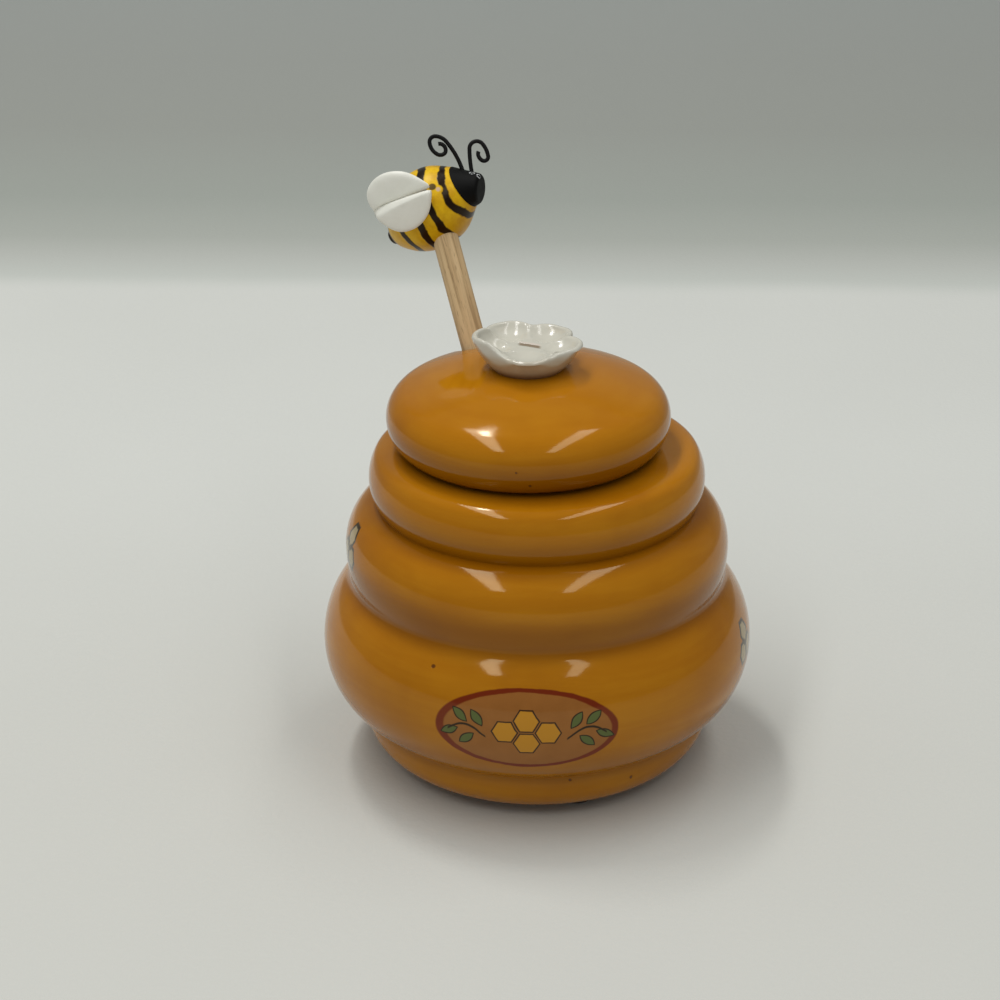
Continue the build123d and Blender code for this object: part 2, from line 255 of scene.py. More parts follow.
def potProfile():
    s = potSizes
    foot, seat, wall, mouth = s["foot"], s["seat"], s["wall"], s["mouth"]

    def side(start, end, inset=0.0):
        count = int(abs(end - start) / s["fine"])
        heights = [start + (end - start) * i / count for i in range(count + 1)]
        return [(potRadius(height, inset), height, 0) for height in heights]

    outside = resample(side(foot + s["footRound"], seat - s["landRound"]), s["outGap"])
    toe = corner((potRadius(foot + 0.05) - 1.0, foot, 0), (potRadius(foot + 0.2), foot, 0), outside[0])
    shoulder = outside[-1]
    brow = corner(shoulder, (potRadius(seat - 0.01) + 0.35, seat, 0), (shoulder.x - 4.6, seat, 0), 10)
    r = s["mouthRound"]
    lip = corner((mouth + r, seat, 0), (mouth, seat, 0), (mouth, seat - r, 0))
    lip += corner((mouth, seat - wall + r, 0), (mouth, seat - wall, 0), (mouth + r, seat - wall, 0))
    top, floor = seat - wall, foot + wall
    inside = [(max(x, s["leastInside"]), y, z) for x, y, z in side(top, floor, wall)]
    inside = resample(inside[2:-2], s["inGap"])
    foil = [(0, foot + s["recessDepth"], 0), (s["recess"] - 0.4, foot + s["recessDepth"], 0),
            (s["recess"], foot + s["recessDepth"] - 0.4, 0), (s["recess"], foot, 0)]
    ground = resample([(s["recess"], foot, 0), (toe[0].x, foot, 0)], 2.0)[1:-1]
    land = resample([(brow[-1].x, seat, 0), (mouth + r, seat, 0)], 1.5)[1:-1]
    close = [(inside[-1].x - 1.0, floor, 0), (inside[-1].x * 0.5, floor, 0), (0, floor, 0)]
    return [*foil, *ground, *toe, *outside[1:], *brow[1:], *land, *lip, *inside, *close]


# the glaze of pot and lid; label and side transfers lie under it
glazeColors = {
    "glaze": (172, 108, 8), "deep": (140, 78, 2), "pale": (182, 120, 16), "pit": (78, 36, 8),
    # the next line holds painted shade: a dark colour for the grooves and one for the lower halves of the rings
    "groove": (116, 56, 1), "under": (206, 196, 90),
    "rim": (112, 36, 8), "tan": (156, 100, 46), "tanDark": (140, 88, 38), "ink": (40, 26, 16), "leaf": (86, 98, 52),
    # the last colour on the next line is painted shade for the gap under the lid
    "cell": (190, 132, 34), "petal": (168, 160, 128), "stroke": (58, 44, 24), "seamShade": (84, 22, 4),
    "shine": (255, 243, 208),
}
colors = {name: paint(*levels) for name, levels in glazeColors.items()}
labelSizes = {
    "radius": 52.0, "middle": -0.8, "height": 31.1, "halfWidth": 21.4, "halfHeight": 10.2,
    "cells": [(0, 2.9), (0, -2.9), (5.0, 0), (-5.0, 0)], "cell": 2.7, "cellStroke": 0.055,
    # leaves of the sprig: middle, turn in degrees
    "leaves": [((11.6, 2.9), 55), ((14.0, -2.6), -40), ((15.6, 3.2), 40), ((18.2, -1.2), -25)],
    "leafLength": 2.3, "leafWidth": 1.05,
    # motifs at the sides: turn in degrees, height, radius of the pot there
    "sides": [(77.0, 34.0, 51.5), (-75.0, 58.0, 45.8)],
    "sideCells": [(0, 2.9), (-2.5, -1.45), (2.5, -1.45)], "sideCell": 2.6, "sideStroke": 0.16,
}


def hexagon(x, y, centre, size):  # distance from the middle of a cell, 1 on its edge
    dx, dy = abs(x - centre[0]), abs(y - centre[1])
    return (dx * 0.866 + dy * 0.5).most(dy) / size


def cells(x, y, places, size, stroke):  # a cluster of outlined comb cells
    fill, line = None, None
    for place in places:
        edge = hexagon(x, y, place, size)
        inner = 1 - edge.step(0.86, 0.92)
        outline = edge.band(0.97, stroke, stroke * 0.5)
        fill = inner if fill is None else fill.most(inner)
        line = outline if line is None else line.most(outline)
    return fill, line


def leafShape(x, y, centre, turn, length, width):  # 1 on the edge of a pointed leaf, 0 on its rib
    c, s = math.cos(math.radians(turn)), math.sin(math.radians(turn))
    dx, dy = x - centre[0], y - centre[1]
    u, v = dx * c + dy * s, dy * c - dx * s
    return abs(v) / width + (u / length) ** 2


def printed(shader, base):  # adds the label and the two side transfers to a base colour
    x, y, z = shader.axes()
    angle = shader.add("ShaderNodeMath", {"operation": "ARCTAN2"}, [x, -y])
    wobble = (shader.cloud(260.0, 2.0) - 0.5) * 0.5
    s = angle * labelSizes["radius"] - labelSizes["middle"] + wobble
    t = z * perMetre - labelSizes["height"] + wobble
    front = (-y).step(0.0, 0.01)
    reach = ((s / labelSizes["halfWidth"]) ** 2.0 + (t / labelSizes["halfHeight"]) ** 2.0) ** 0.5
    # the border is a brush line of uneven width
    swell = shader.cloud(90.0, 2.0) * 0.05 + 0.020
    inside = (1 - reach.step(0.94, 0.975)) * front
    border = (1 - (abs(reach - 0.965) / swell).step(0.7, 1.3)) * front
    mottled = shader.mix(shader.cloud(300.0, 3.0), colors["tan"], colors["tanDark"])
    color = shader.mix(inside, base, mottled)
    color = shader.mix(border, color, colors["rim"])
    # comb cells in the middle
    fill, line = cells(s, t, labelSizes["cells"], labelSizes["cell"], labelSizes["cellStroke"])
    color = shader.mix(fill * front, color, colors["cell"])
    color = shader.mix(line * front, color, colors["ink"])
    # a sprig on each side, mirrored
    side = abs(s)
    curve = ((side - 10.0) * 0.35).maths("SINE") * 2.2 - 1.2
    stem = (1 - abs(t - curve).step(0.16, 0.42)) * side.band(14.0, 4.6, 0.2)
    leaves, veins = None, stem
    for place, turn in labelSizes["leaves"]:
        edge = leafShape(side, t, place, turn, labelSizes["leafLength"], labelSizes["leafWidth"])
        inner = 1 - edge.step(0.85, 1.0)
        stroke = edge.band(1.0, 0.16, 0.08)
        leaves = inner if leaves is None else leaves.most(inner)
        veins = veins.most(stroke)
    color = shader.mix(leaves * front, color, colors["leaf"])
    color = shader.mix(veins * front, color, colors["ink"])
    # a few outlined cells at either side of the pot
    for turn, height, radius in labelSizes["sides"]:
        sideways = (angle - math.radians(turn)) * radius + wobble
        upward = z * perMetre - height + wobble
        fill, line = cells(sideways, upward, labelSizes["sideCells"], labelSizes["sideCell"],
                           labelSizes["sideStroke"])
        color = shader.mix(fill * 0.8, color, colors["petal"])
        color = shader.mix(line, color, colors["stroke"])
    return color


# millimetres; the painted shade in grooves has a height and a half width, the painted shade on undersides a share
# too, pits a place and a radius
glazePlaces = {
    "pot": {
        "grooves": [(13.3, 2.4), (47.6, 2.8), (66.8, 2.6)],
        "shadedUndersides": [(69.5, 5.0, 0.7), (51.5, 6.5, 0.9), (19.0, 8.0, 0.4)],
        "pits": [((-22.55, -43.54, 43.36), 0.7), ((1.07, -48.05, 44.66), 0.35), ((-3.71, -48.09, 44.6), 0.35),
                 ((9.09, -41.44, 12.29), 0.45), ((23.5, -35.4, 9.77), 0.5)],
    },
    "lid": {
        "grooves": [(80.5, 1.6)], "shadedUndersides": [(84.0, 7.0, 0.9)],
        "pits": [((-0.51, -32.91, 84.31), 0.45), ((-3.64, -33.81, 87.9), 0.35)],
        "seamShade": (80.9, 82.0),  # the painted shade band at the lower edge, dark reddish brown, ends between these heights
    },
}
glazeSizes = {"grooveShadeShare": 0.3, "pitShare": 0.85, "rough": 0.06, "wave": 0.00035, "gloss": 0.42}


def makeGlaze(name, places, label=False):
    shader = Shader(name)
    x, y, z = shader.axes()
    flat = shader.join(x * 0.35, y * 0.35, z * 3.2)  # brush marks run round the pot
    brushed = shader.cloud(70.0, 4.0, 0.6, flat, 0.4)
    mottle = shader.cloud(42.0, 3.0, 0.55)
    base = shader.mix(brushed.step(0.3, 0.75) * 0.8, colors["glaze"], colors["pale"])
    base = shader.mix(mottle.step(0.42, 0.75) * 0.3, base, colors["deep"])
    grooveShadeMask = None
    for height, half in places["grooves"]:  # painted shade: the grooves are darkened where shade falls between the rings
        share = 1 - abs(z * perMetre - height).step(0.0, half)
        grooveShadeMask = share if grooveShadeMask is None else grooveShadeMask.most(share)
    base = shader.mix(grooveShadeMask * glazeSizes["grooveShadeShare"], base, colors["groove"])
    for height, half, share in places["shadedUndersides"]:  # painted shade: the lower half of each ring is darkened
        undersideShade = 1 - abs(z * perMetre - height).step(half * 0.1, half * 1.15)
        base = shader.mix(undersideShade * share, base, colors["under"], "MULTIPLY")
    if label:
        base = printed(shader, base)
    else:
        # painted shade: the lid's lower edge, over the gap to the pot, turns reddish brown
        base = shader.mix(1 - (z * perMetre).step(*places["seamShade"]), base, colors["seamShade"])
    specks = shader.add("ShaderNodeTexVoronoi", {"feature": "F1"}, {"Vector": shader.place, "Scale": 72.0})
    rare = shader.cloud(31.0, 1.0)
    pits = (1 - specks.step(0.02, 0.05)) * rare.step(0.62, 0.66)
    for spot, size in places["pits"]:
        ragged = shader.away(spot) + (shader.cloud(1500.0) - 0.5) * 0.6
        pits = pits.most(1 - ragged.step(size * 0.6, size))
    base = shader.mix(pits * glazeSizes["pitShare"], base, colors["pit"])
    wave = shader.cloud(24.0, 2.0, 0.4)
    grain = shader.cloud(900.0, 2.0)
    height = wave * 0.9 + grain * 0.012 - pits * 0.15 + brushed * 0.05
    normal = shader.bump(height, glazeSizes["wave"])
    rough = glazeSizes["rough"] + brushed * 0.05 + pits * 0.2
    return shader.finish(Base_Color=base, Roughness=rough, Normal=normal, IOR=1.45,
                         Specular_IOR_Level=glazeSizes["gloss"], Specular_Tint=colors["shine"])


potGlaze = makeGlaze("amberGlazePot", glazePlaces["pot"], label=True)
lidGlaze = makeGlaze("amberGlazeLid", glazePlaces["lid"])
makePiece("potBody", spun(potProfile(), potSizes["slices"]), potGlaze, "pot", ["pot_body"])
print("pot made")


# ---- lid -----------------------------------------------------------------------------------
lidSizes = {
    "radius": 33.9, "shift": 2.0, "bottom": 80.5, "wall": 4.2, "rimWidth": 7.1, "rimUp": 7.5, "rimDown": 8.0,
    "rimLift": 7.7, "join": 68.7, "flange": 21.2, "flangeDepth": 4.4, "flangeWall": 3.6, "flangeEdge": 0.8,
    "flat": 8.6, "outGap": 0.6, "hollowGap": 1.5, "slices": 144,
    # degrees round the rim's section: where its outside ends, where the hollow starts and ends
    "rimEnd": -74.0, "hollowStart": -86.0, "hollowEnd": 60.0,
}
stickSizes = {
    "radius": 3.2, "lean": 28.5, "side": 34.5, "gap": 0.3, "above": 51.7,
    # the slot's clearance, its way out to the edge, how far it starts below the mouth, and its length
    "slotGap": 1.2, "slotReach": 40, "slotBelow": 30, "slotLength": 70,
}


def lidProfile():
    s = lidSizes
    middle, lift = s["radius"] - s["rimWidth"], s["bottom"] + s["rimLift"]
    t = math.radians(s["join"])
    joinRadius, joinHeight = middle + s["rimWidth"] * math.cos(t), lift + s["rimUp"] * math.sin(t)
    slope = (math.sin(t) / s["rimUp"]) / (math.cos(t) / s["rimWidth"])
    centre = joinHeight - joinRadius * slope
    radius = math.hypot(joinRadius, joinHeight - centre)
    flat = s["flat"]
    flatHeight = centre + math.sqrt(radius ** 2 - flat ** 2)

    def dome(inset, start, end, steps):
        places = [start + (end - start) * i / steps for i in range(steps + 1)]
        return [(x, centre + math.sqrt((radius - inset) ** 2 - x ** 2), 0) for x in places]

    def rim(inset, start, end, steps):
        made = []
        for i in range(steps + 1):
            a = math.radians(start + (end - start) * i / steps)
            tall = (s["rimUp"] if a > 0 else s["rimDown"]) - inset
            made.append((middle + (s["rimWidth"] - inset) * math.cos(a), lift + tall * math.sin(a), 0))
        return made

    top = [(0, flatHeight, 0), (5.0, flatHeight, 0), (flat - 0.3, flatHeight, 0)]
    outer = resample([*dome(0, flat + 0.3, joinRadius, 40), *rim(0, s["join"], s["rimEnd"], 90)], s["outGap"])
    base = corner(outer[-1], (outer[-1].x - 0.9, s["bottom"], 0), (outer[-1].x - 1.9, s["bottom"], 0))
    flange, low, edge = s["flange"], s["bottom"] - s["flangeDepth"], s["flangeEdge"]
    thin = flange - s["flangeWall"]
    under = resample([base[-1], (flange, s["bottom"], 0)], 1.6)[1:]
    tongue = [(flange, low + edge + 1.6, 0),
              *corner((flange, low + edge, 0), (flange, low, 0), (flange - edge, low, 0)),
              *corner((thin + edge, low, 0), (thin, low, 0), (thin, low + edge, 0))]
    wall = s["wall"]
    hollow = [(thin, s["bottom"] + wall, 0), *resample(rim(wall, s["hollowStart"], s["hollowEnd"], 40), 1.2)]
    domeStart = min(hollow[-1][0] - 0.4, joinRadius - 2.0)
    hollow += resample(dome(wall, domeStart, 0.0, 40), s["hollowGap"])
    return [*top, *outer, *base[1:], *under, *tongue, *hollow]


def stickLine():
    lean, side = math.radians(stickSizes["lean"]), math.radians(stickSizes["side"])
    outward = Vector((-math.sin(side), math.cos(side), 0))
    direction = outward * math.sin(lean) + up * math.cos(lean)
    reach = potSizes["mouth"] - stickSizes["gap"] - stickSizes["radius"] / math.cos(lean)
    return outward * reach + up * potSizes["seat"], direction, outward


mouthPoint, stickDirection, outward = stickLine()


def slotCutter():  # the space round the slanted stick, open to the lid's edge
    shape = bmesh.new()
    radius = (stickSizes["radius"] + stickSizes["slotGap"]) * mm
    bmesh.ops.create_circle(shape, cap_ends=False, segments=48, radius=radius)
    across = stickDirection.cross(up).normalized()
    back = (outward - stickDirection * outward.dot(stickDirection)).normalized()
    for vert in shape.verts:
        offset = across * vert.co.x + back * vert.co.y
        if vert.co.y > -1e-7:
            offset += back * stickSizes["slotReach"] * mm
        vert.co = mouthPoint * mm + offset - stickDirection * stickSizes["slotBelow"] * mm
    face = bmesh.ops.contextual_create(shape, geom=shape.edges)["faces"]
    made = bmesh.ops.extrude_face_region(shape, geom=face)["geom"]
    moved = [item for item in made if isinstance(item, bmesh.types.BMVert)]
    bmesh.ops.translate(shape, verts=moved, vec=stickDirection * stickSizes["slotLength"] * mm)
    bmesh.ops.recalc_face_normals(shape, faces=shape.faces)
    mesh = bpy.data.meshes.new("slotCutter")
    shape.to_mesh(mesh)
    shape.free()
    cutter = bpy.data.objects.new("slotCutter", mesh)
    bpy.context.scene.collection.objects.link(cutter)
    return cutter


def cutShape(shape, cutter):  # the shape less the cutter, as a new bmesh
    mesh = bpy.data.meshes.new("uncut")
    shape.to_mesh(mesh)
    shape.free()
    uncut = bpy.data.objects.new("uncut", mesh)
    bpy.context.scene.collection.objects.link(uncut)
    cut = uncut.modifiers.new("slot", "BOOLEAN")
    cut.operation, cut.solver, cut.object = "DIFFERENCE", "EXACT", cutter
    view = bpy.context.evaluated_depsgraph_get()
    view.update()
    made = bmesh.new()
    made.from_mesh(uncut.evaluated_get(view).to_mesh())
    for item in (uncut, cutter):
        bpy.data.objects.remove(item)
    return made


lidShape = spun(lidProfile(), lidSizes["slices"])
bmesh.ops.translate(lidShape, verts=lidShape.verts, vec=(-lidSizes["shift"] * mm, 0, 0))
lidShape = cutShape(lidShape, slotCutter())
makePiece("lidDome", lidShape, lidGlaze, "lid", ["lid"])
print("lid made")


# ---- flower knob ---------------------------------------------------------------------------
flowerSizes = {
    "turn": -90.0, "lobe": 5.9, "radius": 13.6, "heights": (5.9, 7.0, 6.6, 7.2, 9.0), "foot": 8.6,
    "flareHeight": 8.6, "flare": 0.72, "rim": 1.3, "hollow": 5.3, "floor": 4.2, "heart": 5.2,
    "heartHeight": 5.0, "bottom": 100.52, "lipHalf": 0.75, "blur": 0.55, "topSteps": 34, "wallSteps": 14,
    # how far the rim is evened out round the flower, and how much further at its front; slices round it
    "spread": 0.035, "frontSpread": 0.06, "slices": 180,
    # direction in degrees, size in millimetres
    "beads": [(-154.0, 0.35), (-105.0, 0.3), (-65.0, 0.35), (-50.0, 0.3)],
}
petalTurns = [math.radians(flowerSizes["turn"] + 72 * index) for index in range(5)]


def flowerTop(x, y):  # height of the flower's upper side at a place, both from its foot
    s = flowerSizes
    height = s["heartHeight"] if math.hypot(x, y) < s["foot"] else 0.0
    for turn, tall in zip(petalTurns, s["heights"]):
        centre = s["radius"] - s["lobe"]
        if math.hypot(x - centre * math.cos(turn), y - centre * math.sin(turn)) < s["lobe"] + 0.05:
            height = max(height, tall)
    if math.hypot(x, y) < s["heart"]:
        height = min(height, s["heartHeight"])
    for turn, tall in zip(petalTurns, s["heights"]):
        deep = tall - s["floor"]
        ball = (s["hollow"] ** 2 + deep ** 2) / (2 * deep)
        centre = s["radius"] - s["rim"] - s["hollow"]
        away = math.hypot(x - centre * math.cos(turn), y - centre * math.sin(turn))
        if away < ball:
            height = min(height, s["floor"] + ball - math.sqrt(ball ** 2 - away ** 2))
    return height


def softTop(x, y, blur):
    ring = [flowerTop(x + blur * math.cos(a), y + blur * math.sin(a)) for a in (0, 1.05, 2.09, 3.14, 4.19, 5.24)]
    return (sum(ring) + flowerTop(x, y) * 2) / 8


def petalReach(angle):  # how far the lobes reach from the axis in a direction
    s = flowerSizes
    centre, reach = s["radius"] - s["lobe"], s["foot"]
    for turn in petalTurns:
        side = centre * math.sin(angle - turn)
        if abs(side) < s["lobe"] and math.cos(angle - turn) > 0:
            reach = max(reach, centre * math.cos(angle - turn) + math.sqrt(s["lobe"] ** 2 - side ** 2))
    return reach


def flareRadius(height):  # outside of the flared wall
    s = flowerSizes
    share = height / s["flareHeight"]
    bulge = 4 * s["flare"] * share * (1 - share) if share < 1 else 0.0
    return s["foot"] + (s["radius"] - s["foot"]) * min(share, 1.0) + bulge


def rimPlace(angle):  # radius and height of the rim in a direction
    c, d = math.cos(angle), math.sin(angle)
    reach = petalReach(angle)
    height = flowerTop((reach - 0.6) * c, (reach - 0.6) * d)
    for _ in range(3):
        radius = min(reach, flareRadius(height))
        height = flowerTop((radius - 0.3) * c, (radius - 0.3) * d)
    return radius, height


def flowerLine(angle):  # the outline of one slice, from the heart over the rim to the foot
    s = flowerSizes
    c, d = math.cos(angle), math.sin(angle)
    spread = s["spread"] + s["frontSpread"] * max(0.0, -d)  # the front rim is the softest
    around = [rimPlace(angle + spread * off) for off in (-3, -2, -1, 0, 1, 2, 3)]
    rimRadius = sum(place[0] for place in around) / len(around)
    rimHeight = sum(place[1] for place in around) / len(around)
    bead = sum(size * math.exp(-(((angle - math.radians(turn) + math.pi) % (2 * math.pi) - math.pi) / 0.045) ** 2)
               for turn, size in s["beads"])
    rimHeight -= 0.12 * noise.noise(Vector((c, d, 0)) * 3.0) + 0.15 - bead * 0.6
    half, steps = s["lipHalf"], s["topSteps"]
    inner = rimRadius - 2 * half
    line = []
    for step in range(steps + 1):
        radius = inner * step / steps
        height = softTop(radius * c, radius * d, s["blur"])
        line.append((radius, min(height, rimHeight + 0.1)))
    for turn in (150, 120, 90, 60, 30, 0):
        a = math.radians(turn)
        line.append((rimRadius - half + half * math.cos(a), rimHeight - half + half * math.sin(a)))
    for step in range(1, s["wallSteps"] + 1):
        height = (rimHeight - half) * (1 - step / s["wallSteps"])
        line.append((min(rimRadius, flareRadius(height)), height))
    return [*line, (6.0, 0.0), (3.0, 0.0), (0.0, 0.0)]


def makeFlower():
    s = flowerSizes
    gap = 0.1  # a flat disc first; each of its rings then moves to one point of the outline
    count = s["topSteps"] + s["wallSteps"] + 9
    shape = spun([(gap * index, 0) for index in range(count + 1)], s["slices"])
    lines = {}
    for vert in shape.verts:
        index = round(math.hypot(vert.co.x, vert.co.y) / (gap * mm))
        angle = math.atan2(vert.co.y, vert.co.x) if index else 0.0
        turn = round(angle, 3)
        if turn not in lines:
            lines[turn] = flowerLine(angle)
        radius, height = lines[turn][index]
        vert.co = Vector((radius * math.cos(angle), radius * math.sin(angle), height)) * mm
    bmesh.ops.remove_doubles(shape, verts=shape.verts, dist=1e-6)
    for _ in range(2):
        bmesh.ops.smooth_vert(shape, verts=[v for v in shape.verts if v.co.z > 0.0005], factor=0.35,
                              use_axis_x=False, use_axis_y=False, use_axis_z=True)
    bmesh.ops.recalc_face_normals(shape, faces=shape.faces)
    bmesh.ops.translate(shape, verts=shape.verts, vec=(-lidSizes["shift"] * mm, 0, s["bottom"] * mm))
    return shape


flowerColors = {
    # of the next line, the third colour is amber glaze with painted shade and reflection, the fourth painted contact
    # shade at the foot
    "white": (208, 206, 193), "grey": (194, 191, 177), "amberAndShade": (170, 146, 108), "foot": (120, 78, 34),
    "crack": (122, 98, 68), "crackHighlight": (226, 204, 192),
}


def makeWhiteGlaze():
    shader = Shader("whiteGlaze")
    tone = {name: paint(*levels) for name, levels in flowerColors.items()}
    mottle = shader.cloud(180.0, 3.0, 0.55)
    base = shader.mix(mottle, tone["white"], tone["grey"])
    x, y, z = shader.axes(shader.shifted((-lidSizes["shift"] * mm, 0, flowerSizes["bottom"] * mm)))
    x, y, z = x * perMetre, y * perMetre, z * perMetre
    radius = (x * x + y * y) ** 0.5
    # amber glaze shows through on the outside, with painted shade and a painted reflection of the amber lid over it,
    # most of all near the foot
    outside = (radius - z * 0.5).step(7.6, 8.8) * (1 - z.step(4.4, 6.4))
    base = shader.mix(outside * 0.65, base, tone["amberAndShade"])
    # painted contact shade: the foot darkens to brown where it sits on the lid
    base = shader.mix((1 - z.step(0.2, 2.6)) * 0.8, base, tone["foot"])
    # a fine curved crack across the heart, with a painted highlight along one lip
    bend = y - (1.75 - (x + 3.76) * 0.279 - (x + 3.76) * (x + 1.61) * 0.0219)
    within = x.band(0.3, 2.5, 0.5) * (1 - abs(z - 5.0).step(0.5, 0.9))
    crack = (1 - abs(bend).step(0.6, 1.05)) * within
    crackHighlightMask = (1 - abs(bend - 1.4).step(0.1, 0.7)) * within
    # painted highlight: a pale band along the crack
    base = shader.mix(crackHighlightMask * 0.5, base, tone["crackHighlight"])
    base = shader.mix(crack * 0.85, base, tone["crack"])
    height = shader.cloud(120.0, 2.0) * 0.8 + mottle * 0.1 - crack * 0.6
    rough = 0.12 + mottle * 0.06
    return shader.finish(Base_Color=base, Roughness=rough, Normal=shader.bump(height, 0.0004), IOR=1.5)


makePiece("flowerKnob", makeFlower(), makeWhiteGlaze(), "lid", ["flower_knob"])
print("flower made")


# ---- dipper --------------------------------------------------------------------------------
woodColors = {"pale": (224, 195, 148), "warm": (206, 175, 128), "line": (172, 142, 100), "fleck": (130, 100, 66)}


def makeWood():
    shader = Shader("beechWood")
    tone = {name: paint(*levels) for name, levels in woodColors.items()}
    spot = shader.shifted(mouthPoint * mm)
    run = shader.along(spot, stickDirection)
    across = stickDirection.cross(up).normalized()
    other = stickDirection.cross(across).normalized()
    u, v = shader.along(spot, across), shader.along(spot, other)
    grain = shader.join(u, v, run * 0.035)
    lines = shader.cloud(950.0, 4.0, 0.6, grain, 0.3)
    bands = shader.cloud(260.0, 2.0, 0.5, grain, 0.6)
    flecks = shader.cloud(3200.0, 2.0, 0.5, shader.join(u, v, run * 0.12))
    base = shader.mix(bands.step(0.3, 0.7), tone["pale"], tone["warm"])
    base = shader.mix(lines.step(0.42, 0.68), base, tone["line"])
    base = shader.mix(flecks.step(0.6, 0.72) * 0.5, base, tone["fleck"])
    height = lines * 0.6 + flecks * 0.3
    return shader.finish(Base_Color=base, Roughness=0.5 + lines * 0.2, Normal=shader.bump(height, 0.0001), IOR=1.45)


wood = makeWood()
dress("dipper_stick", wood)
dress("dipper_head", wood)
print("stick made")


# ---- bee -----------------------------------------------------------------------------------
beeSizes = {
    "heading": -7.5, "pitch": 35.8, "roll": 56.7, "fromStick": (-2.1, 3.3, 0.6), "sagAngle": 18.0,
    "sections": [(-12.5, 1.9, 0.9), (-10.9, 4.4, 0.7), (-8.0, 7.3, 0.4), (-4.2, 9.4, 0.1),
                 (0.2, 10.0, 0.0), (5.0, 9.0, 0.0), (10.0, 5.7, 0.0)],
    "tailTip": 1.0, "noseCap": 0.6, "slices": 72, "across": (0.853, 0.397), "tailPaint": (-11.6, -11.1),
    # place along the body, half width, slope and bow across it
    "stripes": ((7.5, 0.75, 0.02, 0.02), (3.0, 0.92, 0.13, 0.0), (-1.7, 0.88, 0.08, 0.0), (-7.0, 0.72, 0.0, 0.0)),
    # glue holds the glue spot, then the spot of the painted highlight beside it
    "glue": ((-26.4, 32.9, 134.0), (-24.9, 32.4, 133.6)), "eyes": ((-16.95, 37.81, 135.96), (-15.21, 37.11, 135.43)),
    "eyeRadius": 0.58, "eyeStroke": 0.16,
}
beeColors = {
    "yellow": (234, 190, 20), "ochre": (212, 162, 10), "bellyShade": (176, 120, 8), "stripe": (26, 8, 3),
    # the second colour on the next line is a painted highlight beside the glue
    "glue": (44, 33, 20), "glueGlint": (206, 178, 160), "black": (4, 4, 3), "worn": (11, 11, 10),
    "eye": (180, 182, 182),
}
beeTones = {name: paint(*levels) for name, levels in beeColors.items()}


def beeAxes():
    heading, pitch, roll = (math.radians(beeSizes[k]) for k in ("heading", "pitch", "roll"))
    forward = Vector((math.cos(heading) * math.cos(pitch), math.sin(heading) * math.cos(pitch), math.sin(pitch)))
    levelRight = Vector((math.sin(heading), -math.cos(heading), 0))
    levelUp = levelRight.cross(forward)
    back = levelUp * math.cos(roll) + levelRight * math.sin(roll)
    middle = mouthPoint + stickDirection * stickSizes["above"] + Vector(beeSizes["fromStick"])
    return middle, forward, back.cross(forward), back


beeMiddle, beeForward, beeLeft, beeUp = beeAxes()
beeFrame = Matrix((beeForward, beeLeft, beeUp)).transposed().to_4x4()
beeFrame.translation = beeMiddle
sag = Vector((0, -math.cos(math.radians(beeSizes["sagAngle"])), -math.sin(math.radians(beeSizes["sagAngle"]))))


def smoothLine(points, steps):  # a smooth line through points, by Catmull and Rom's rule
    line = [Vector(p) for p in points]
    line = [line[0] * 2 - line[1], *line, line[-1] * 2 - line[-2]]
    made = []
    for a, b, c, d in zip(line, line[1:], line[2:], line[3:]):
        for step in range(steps):
            t = step / steps
            lower = b * 2 + (c - a) * t + (a * 2 - b * 5 + c * 4 - d) * t ** 2
            made.append((lower + (b * 3 - a - c * 3 + d) * t ** 3) / 2)
    return [*made, line[-2]]


def makeBeeBody():
    line = smoothLine(beeSizes["sections"], 7)
    first, last = line[0], line[-1]
    tail = [Vector((first.x - beeSizes["tailTip"] * math.cos(a), first.y * math.sin(a), first.z))
            for a in (math.radians(d) for d in (0, 18, 36, 54, 72))]
    nose = [Vector((last.x + beeSizes["noseCap"], last.y * share, 0)) for share in (0.8, 0.5, 0.0)]
    profile = [(0.0 if index == 0 else p.y, p.x) for index, p in enumerate([*tail, *line, *nose])]
    shape = spun(profile, beeSizes["slices"])
    drops = [(p.x, p.z) for p in [*tail, *line]]

    def dropAt(place):  # how far the body sags there
        before = [spot for spot in drops if spot[0] < place]
        after = [spot for spot in drops if spot[0] >= place]
        if not before or not after:
            return after[0][1] if after else 0.0
        (x0, z0), (x1, z1) = before[-1], after[0]
        return z0 + (z1 - z0) * (place - x0) / max(x1 - x0, 1e-6)

    for vert in shape.verts:
        place = vert.co.z / mm
        spot = Vector((place, vert.co.x / mm, vert.co.y / mm)) + sag * dropAt(place)
        dent = noise.noise(spot * 0.11) * 0.25
        side = Vector((0, spot.y, spot.z))
        spot += side.normalized() * min(dent, 0.0) if side.length > 0.5 else Vector()
        vert.co = beeFrame @ spot * mm
    bmesh.ops.recalc_face_normals(shape, faces=shape.faces)
    return shape


